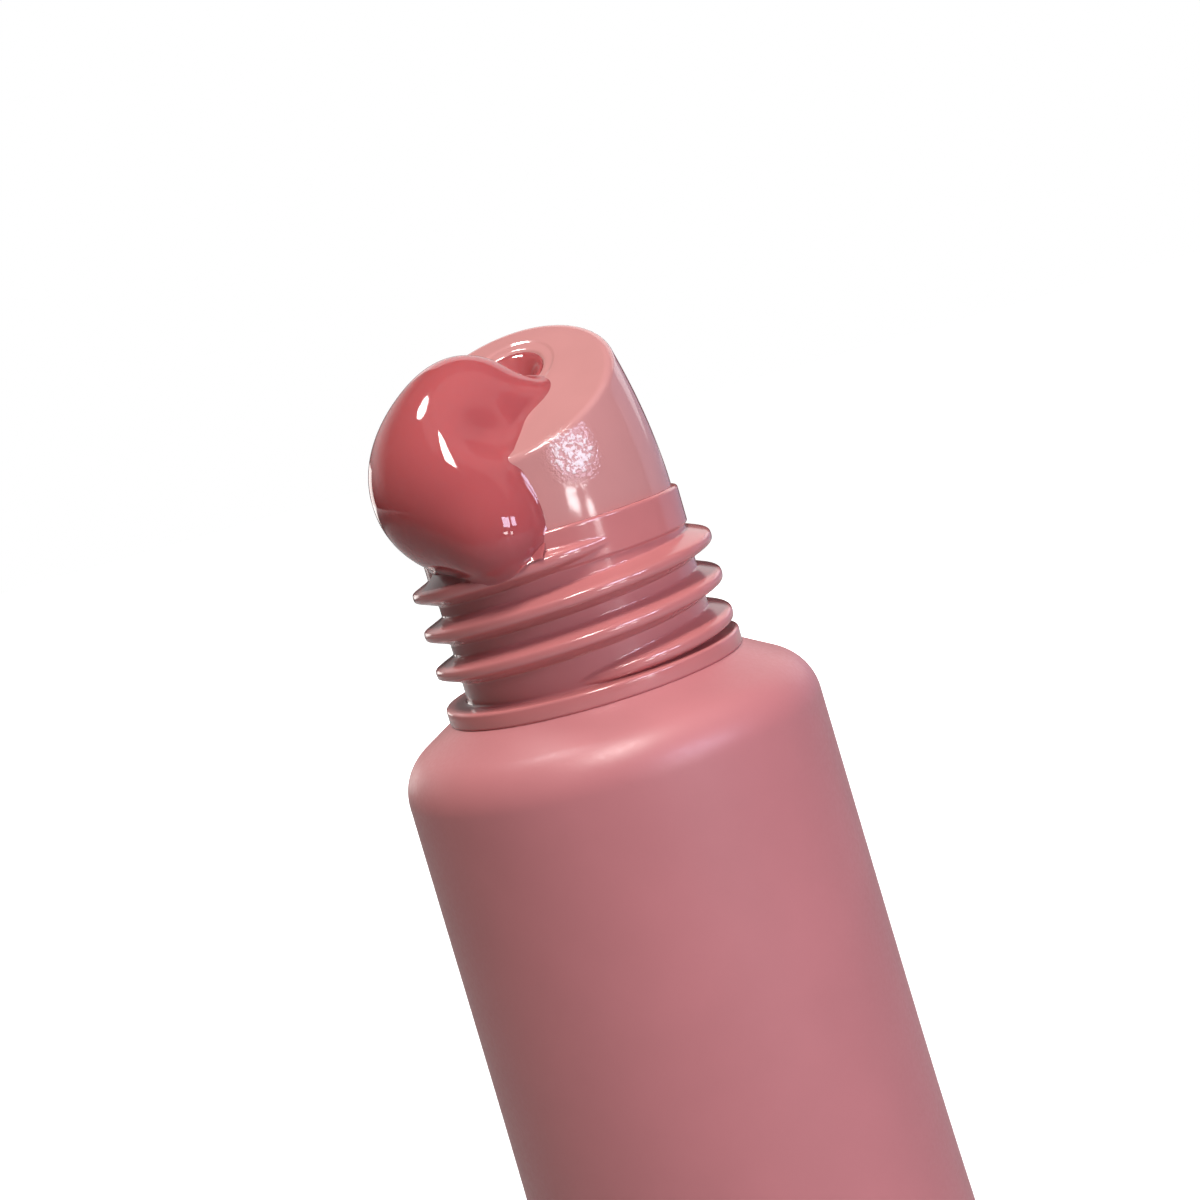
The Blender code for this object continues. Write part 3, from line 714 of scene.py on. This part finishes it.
SLEEVE_COLOUR = (0.5, 0.18, 0.186)
HEAD_COLOUR = (0.54, 0.185, 0.18)
TIP_COLOUR = (0.55, 0.25, 0.235)
# Near-white pink painted on the film's wrinkle crests: a painted highlight of sparkling
# reflections
PAINTED_SPARKLE_COLOUR = (0.86, 0.76, 0.77)
BALM_COLOUR = (0.41, 0.085, 0.088)
# Where a thin wet film of balm lies in wrinkles on the tip's side, how far it is whole and
# where it ends; the pale on its wrinkles' crests is a painted highlight of sparkles
FILM_PLACE = (3.0 * MM, -4.4 * MM, NECK_TOP + 2.75 * MM)
FILM_WHOLE = 0.7 * MM
FILM_END = 1.7 * MM
# From which noise the painted highlight of pale sparkles shows on the film, how much of the tip
# there that paint covers, and how much wetter the film is
PAINTED_SPARKLE_CRESTS = (0.46, 0.56)
PAINTED_SPARKLE_COVER = 0.85
FILM_WETNESS = 0.05
# What a noise runs between where it makes a tint and where it makes a roughness
TINT_RANGE = (0.35, 0.65)
ROUGH_RANGE = (0.3, 0.7)
SLEEVE_ROUGHNESS = (0.34, 0.44)
HEAD_ROUGHNESS = (0.1, 0.18)
TIP_ROUGHNESS = (0.07, 0.13)


def surface(name, colour, roughness, **constant):
    """A procedural material: itself, its nodes, its shader and the place on the piece."""
    made = bpy.data.materials.new(name)
    made.use_nodes = True
    tree = made.node_tree
    shader = tree.nodes["Principled BSDF"]
    shader.inputs["Base Color"].default_value = (*colour, 1.0)
    shader.inputs["Roughness"].default_value = roughness
    for socket, value in constant.items():
        shader.inputs[socket.replace("_", " ")].default_value = value
    coordinates = tree.nodes.new("ShaderNodeTexCoord")
    centred = tree.nodes.new("ShaderNodeMapping")
    tree.links.new(coordinates.outputs["Object"], centred.inputs["Vector"])
    return made, tree, shader, centred.outputs["Vector"]


def noise(tree, vector, scale, detail=2.0):
    made = tree.nodes.new("ShaderNodeTexNoise")
    made.inputs["Scale"].default_value = scale
    made.inputs["Detail"].default_value = detail
    tree.links.new(vector, made.inputs["Vector"])
    return made.outputs["Fac"]


def math_node(tree, operation, *values):
    """Arithmetic on values, each a number or a socket."""
    made = tree.nodes.new("ShaderNodeMath")
    made.operation = operation
    for socket, value in zip(made.inputs, values):
        if isinstance(value, (int, float)):
            socket.default_value = value
        else:
            tree.links.new(value, socket)
    return made.outputs[0]


def ranged(tree, value, low, high, out_low=0.0, out_high=1.0, smooth=False):
    """A value brought from one range to another, and held at its ends."""
    made = tree.nodes.new("ShaderNodeMapRange")
    made.interpolation_type = "SMOOTHSTEP" if smooth else "LINEAR"
    tree.links.new(value, made.inputs["Value"])
    limits = {"From Min": low, "From Max": high, "To Min": out_low, "To Max": out_high}
    for socket, number in limits.items():
        made.inputs[socket].default_value = number
    return made.outputs["Result"]


def mixed(tree, share, first, second):
    """A colour between two, each a colour or a socket."""
    made = tree.nodes.new("ShaderNodeMix")
    made.data_type = "RGBA"
    tree.links.new(share, made.inputs["Factor"])
    sockets = [s for s in made.inputs if s.type == "RGBA"]
    for socket, colour in zip(sockets, (first, second)):
        if isinstance(colour, tuple):
            socket.default_value = (*colour, 1.0)
        else:
            tree.links.new(colour, socket)
    return [s for s in made.outputs if s.type == "RGBA"][0]


def bumped(tree, height, strength, distance, before=None):
    made = tree.nodes.new("ShaderNodeBump")
    made.inputs["Strength"].default_value = strength
    made.inputs["Distance"].default_value = distance
    tree.links.new(height, made.inputs["Height"])
    if before is not None:
        tree.links.new(before, made.inputs["Normal"])
    return made.outputs["Normal"]


def tinted(tree, broad, colour, stray):
    """A colour that strays by a share to darker and lighter with a broad noise."""
    darker, lighter = (tuple(c * by for c in colour) for by in (1 - stray, 1 + stray))
    return mixed(tree, ranged(tree, broad, *TINT_RANGE), darker, lighter)


def near(tree, place, middle, inner, outer):
    """1 within the inner distance of a place on the tube, falling to 0 at the outer one."""
    away = tree.nodes.new("ShaderNodeVectorMath")
    away.operation = "DISTANCE"
    tree.links.new(place, away.inputs[0])
    away.inputs[1].default_value = middle
    return ranged(tree, away.outputs["Value"], inner, outer, 1.0, 0.0, smooth=True)


def sleeve_material():
    made, tree, shader, place = surface("sleeve_satin", SLEEVE_COLOUR, 0.42)
    broad = noise(tree, place, scale=180.0, detail=3.0)
    tint = tinted(tree, broad, SLEEVE_COLOUR, stray=0.03)
    tree.links.new(tint, shader.inputs["Base Color"])
    fine = noise(tree, place, scale=5200.0)
    rough = ranged(tree, fine, *ROUGH_RANGE, *SLEEVE_ROUGHNESS)
    tree.links.new(rough, shader.inputs["Roughness"])
    normal = bumped(tree, fine, strength=0.12, distance=0.02 * MM)
    tree.links.new(normal, shader.inputs["Normal"])
    return made


def head_material():
    made, tree, shader, place = surface("head_gloss", HEAD_COLOUR, 0.2, Specular_IOR_Level=0.75)
    broad = noise(tree, place, scale=240.0)
    tint = tinted(tree, broad, HEAD_COLOUR, stray=0.04)
    tree.links.new(tint, shader.inputs["Base Color"])
    rough = ranged(tree, broad, *ROUGH_RANGE, *HEAD_ROUGHNESS)
    tree.links.new(rough, shader.inputs["Roughness"])
    fine = noise(tree, place, scale=1500.0)
    normal = bumped(tree, fine, strength=0.1, distance=0.01 * MM)
    tree.links.new(normal, shader.inputs["Normal"])
    return made


def tip_material():
    """The glossy tip, with a patch of wet, wrinkled film on its side and a painted highlight on
    its crests.
    """
    made, tree, shader, place = surface("tip_gloss", TIP_COLOUR, 0.14, Specular_IOR_Level=0.65)
    broad = noise(tree, place, scale=260.0)
    tint = tinted(tree, broad, TIP_COLOUR, stray=0.03)
    film = near(tree, place, FILM_PLACE, FILM_WHOLE, FILM_END)
    grain = noise(tree, place, scale=6500.0, detail=3.0)
    wrinkles = math_node(tree, "MULTIPLY", grain, film)
    # Painted highlight: the wrinkle crests of the film are mixed towards a near-white pink,
    # standing in for sparkling reflections
    painted_sparkle = ranged(tree, wrinkles, *PAINTED_SPARKLE_CRESTS, 0.0, PAINTED_SPARKLE_COVER)
    tree.links.new(mixed(tree, painted_sparkle, tint, PAINTED_SPARKLE_COLOUR), shader.inputs["Base Color"])
    dry = ranged(tree, broad, *ROUGH_RANGE, *TIP_ROUGHNESS)
    rough = math_node(tree, "MULTIPLY_ADD", film, -FILM_WETNESS, dry)
    tree.links.new(rough, shader.inputs["Roughness"])
    fine = noise(tree, place, scale=1800.0)
    plain = bumped(tree, fine, strength=0.15, distance=0.01 * MM)
    normal = bumped(tree, wrinkles, strength=1.0, distance=0.06 * MM, before=plain)
    tree.links.new(normal, shader.inputs["Normal"])
    return made


def balm_material():
    made, tree, shader, place = surface(
        "balm_wet", BALM_COLOUR, 0.05,
        Subsurface_Weight=0.35, Subsurface_Scale=1.2 * MM, Subsurface_Radius=(1.0, 0.35, 0.3),
    )
    broad = noise(tree, place, scale=200.0)
    tint = tinted(tree, broad, BALM_COLOUR, stray=0.03)
    tree.links.new(tint, shader.inputs["Base Color"])
    return made


# ---------------------------------------------------------------- camera, lamps and floor

HEADING = math.radians(15.2)
ELEVATION = math.radians(6.8)
ROLL = math.radians(16.34)
TARGET = Vector((1.129, 0.307, 68.56)) * MM
DISTANCE = 79.7 * MM
LENS = 54.0
SENSOR = 36.0
CLIP = (1 * MM, 100.0)

LAMP_DISTANCE = 0.5
COOL = (0.78, 0.76, 1.0)
PLAIN = (1.0, 1.0, 1.0)
WARM = (1.0, 0.96, 0.92)
AMBER = (1.0, 0.8, 0.68)

# The room glows all around but behind the tube, and not below the horizon: its strength, the
# little that is left elsewhere, where it ends behind, and how high above the horizon it is full
ROOM_GLOW = 0.8
ROOM_REST = 0.02
ROOM_BEHIND = (-1.0, -0.75)
ROOM_RISE = 0.35

FLOOR_SIZE = 3.0
# The floor's colour to the camera, and to the light that it throws back
FLOOR_SEEN = (0.82, 0.82, 0.82)
FLOOR_BOUNCE = (0.35, 0.35, 0.35)
# How far from the tube the floor is lit and keeps the shadow, from where it is white by
# itself, and its own light up to there
FLOOR_LIT = 0.12
FLOOR_FADED = 0.5
FLOOR_GLOW = 0.45
# Where behind the tube the floor is mirrored, from fully to not at all, and how strongly
FLOOR_BEHIND = (-2.0, -0.5)
FLOOR_MIRRORED = 0.5


def view_axes():
    """The camera's right, up and backward directions."""
    level = Vector((math.sin(HEADING), -math.cos(HEADING), 0.0))
    back = level * math.cos(ELEVATION) + Vector((0, 0, math.sin(ELEVATION)))
    right = Vector((0, 0, 1)).cross(back).normalized()
    up = back.cross(right)
    rolled_up = up * math.cos(ROLL) + right * math.sin(ROLL)
    return rolled_up.cross(back), rolled_up, back


def add_camera():
    right, up, back = view_axes()
    data = bpy.data.cameras.new("camera")
    data.lens = LENS
    data.sensor_width = SENSOR
    data.clip_start, data.clip_end = CLIP
    camera = bpy.data.objects.new("camera", data)
    turn = Matrix((right, up, back)).transposed().to_4x4()
    camera.matrix_world = Matrix.Translation(TARGET + back * DISTANCE) @ turn
    bpy.context.scene.collection.objects.link(camera)
    bpy.context.scene.camera = camera


def lamp(name, azimuth, elevation, wide, high, radiance, colour, oval=False, mirrored=True):
    """A soft lamp seen from the tube in a direction in the view's frame, as degrees to the
    right and up, with its width and height in degrees too."""
    right, up, back = view_axes()
    a, e = math.radians(azimuth), math.radians(elevation)
    way = (right * math.sin(a) + back * math.cos(a)) * math.cos(e) + up * math.sin(e)
    data = bpy.data.lights.new(name, "AREA")
    data.shape = "ELLIPSE" if oval else "RECTANGLE"
    data.size = 2 * LAMP_DISTANCE * math.tan(math.radians(wide) / 2)
    data.size_y = 2 * LAMP_DISTANCE * math.tan(math.radians(high) / 2)
    data.color = colour
    data.energy = radiance * math.pi * data.size * data.size_y * (math.pi / 4 if oval else 1)
    made = bpy.data.objects.new(name, data)
    side = up.cross(way).normalized()
    turn = Matrix((side, way.cross(side), way)).transposed().to_4x4()
    made.matrix_world = Matrix.Translation(TARGET + way * LAMP_DISTANCE) @ turn
    made.visible_camera = False
    made.visible_glossy = mirrored
    bpy.context.scene.collection.objects.link(made)


def add_lamps():
    lamp("main", -24, 56, 8, 20, 55.0, WARM)
    lamp("top_soft", 5, 76, 70, 36, 0.45, WARM)
    lamp("window_1", 31, 22, 15, 16, 15.0, COOL)
    lamp("window_2", 50, 24, 10, 13, 15.0, COOL)
    lamp("pane_1", 26, 3, 9, 5, 15.0, PLAIN)
    lamp("pane_2", 40, 4, 5, 5, 15.0, PLAIN)
    lamp("left_soft", -35, 25, 30, 20, 0.8, AMBER, mirrored=False)
    lamp("overhead", -93, 57, 9, 9, 40.0, PLAIN, oval=True)
    lamp("back_top", 170, 38, 60, 35, 0.9, PLAIN)
    lamp("back_fill", 178, 18, 60, 45, 1.7, PLAIN, mirrored=False)
    lamp("back_left", -135, 5, 30, 30, 1.0, WARM, mirrored=False)
    lamp("left_rim", -150, 1, 16, 12, 2.2, WARM)
    lamp("right_rim", 138, 15, 50, 36, 0.5, COOL)


def along(tree, vector, way):
    """How far a vector goes along a direction."""
    made = tree.nodes.new("ShaderNodeVectorMath")
    made.operation = "DOT_PRODUCT"
    tree.links.new(vector, made.inputs[0])
    made.inputs[1].default_value = tuple(way.normalized())
    return made.outputs["Value"]


def forward_way():
    """The direction from the tube to the front and a little to the right."""
    right, _, back = view_axes()
    return back * 0.8 + right * 0.6


def add_world():
    """White to the camera. To the rest it is a soft glow in front, beside and above."""
    world = bpy.data.worlds.new("studio")
    bpy.context.scene.world = world
    world.use_nodes = True
    tree = world.node_tree
    tree.nodes.clear()
    place = tree.nodes.new("ShaderNodeTexCoord")
    path = tree.nodes.new("ShaderNodeLightPath")
    ahead = along(tree, place.outputs["Generated"], forward_way())
    around = ranged(tree, ahead, *ROOM_BEHIND, ROOM_GLOW, 0.0, smooth=True)
    rise = along(tree, place.outputs["Generated"], Vector((0.0, 0.0, 1.0)))
    above = ranged(tree, rise, 0.0, ROOM_RISE, smooth=True)
    glow = math_node(tree, "MULTIPLY_ADD", around, above, ROOM_REST)
    strength = math_node(tree, "MAXIMUM", glow, path.outputs["Is Camera Ray"])
    background = tree.nodes.new("ShaderNodeBackground")
    tree.links.new(strength, background.inputs["Strength"])
    background.inputs["Color"].default_value = (1.0, 1.0, 1.0, 1.0)
    out = tree.nodes.new("ShaderNodeOutputWorld")
    tree.links.new(background.outputs[0], out.inputs["Surface"])


def add_floor():
    """A pale floor that is white to the camera where it isn't lit, and keeps the shadow."""
    shape = bmesh.new()
    bmesh.ops.create_grid(shape, x_segments=1, y_segments=1, size=FLOOR_SIZE)
    mesh = bpy.data.meshes.new("floor")
    shape.to_mesh(mesh)
    shape.free()
    floor = bpy.data.objects.new("floor", mesh)
    bpy.context.scene.collection.objects.link(floor)
    made = bpy.data.materials.new("floor_pale")
    made.use_nodes = True
    tree = made.node_tree
    shader = tree.nodes["Principled BSDF"]
    shader.inputs["Roughness"].default_value = 0.8
    path = tree.nodes.new("ShaderNodeLightPath")
    seen = path.outputs["Is Camera Ray"]
    colour = mixed(tree, seen, FLOOR_BOUNCE, FLOOR_SEEN)
    tree.links.new(colour, shader.inputs["Base Color"])
    place = tree.nodes.new("ShaderNodeTexCoord")
    away = tree.nodes.new("ShaderNodeVectorMath")
    away.operation = "LENGTH"
    tree.links.new(place.outputs["Object"], away.inputs[0])
    distance = away.outputs["Value"]
    glow = ranged(tree, distance, FLOOR_LIT, FLOOR_FADED, FLOOR_GLOW, 1.0, smooth=True)
    white = math_node(tree, "MULTIPLY", seen, glow)
    ahead = along(tree, place.outputs["Object"], forward_way())
    behind = ranged(tree, ahead, *FLOOR_BEHIND, FLOOR_MIRRORED, 0.0, smooth=True)
    mirrored = math_node(tree, "MULTIPLY", path.outputs["Is Glossy Ray"], behind)
    tree.links.new(math_node(tree, "ADD", white, mirrored), shader.inputs["Emission Strength"])
    shader.inputs["Emission Color"].default_value = (1.0, 1.0, 1.0, 1.0)
    mesh.materials.append(made)


def main():
    bpy.context.scene.view_settings.view_transform = "Standard"
    balm = balm_material()
    piece("sleeve", sleeve_shape(), "tube_sleeve", sleeve_material())
    piece("head", head_shape(), "tube_head", head_material())
    piece("tip", tip_shape(), "applicator_tip", tip_material())
    piece("bead", bead_shape(), "balm_bead", balm)
    piece("orifice_balm", orifice_balm_shape(), None, balm)
    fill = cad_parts["balm_fill"]
    fill.data.materials.clear()
    fill.data.materials.append(balm)
    add_camera()
    add_lamps()
    add_world()
    add_floor()


main()
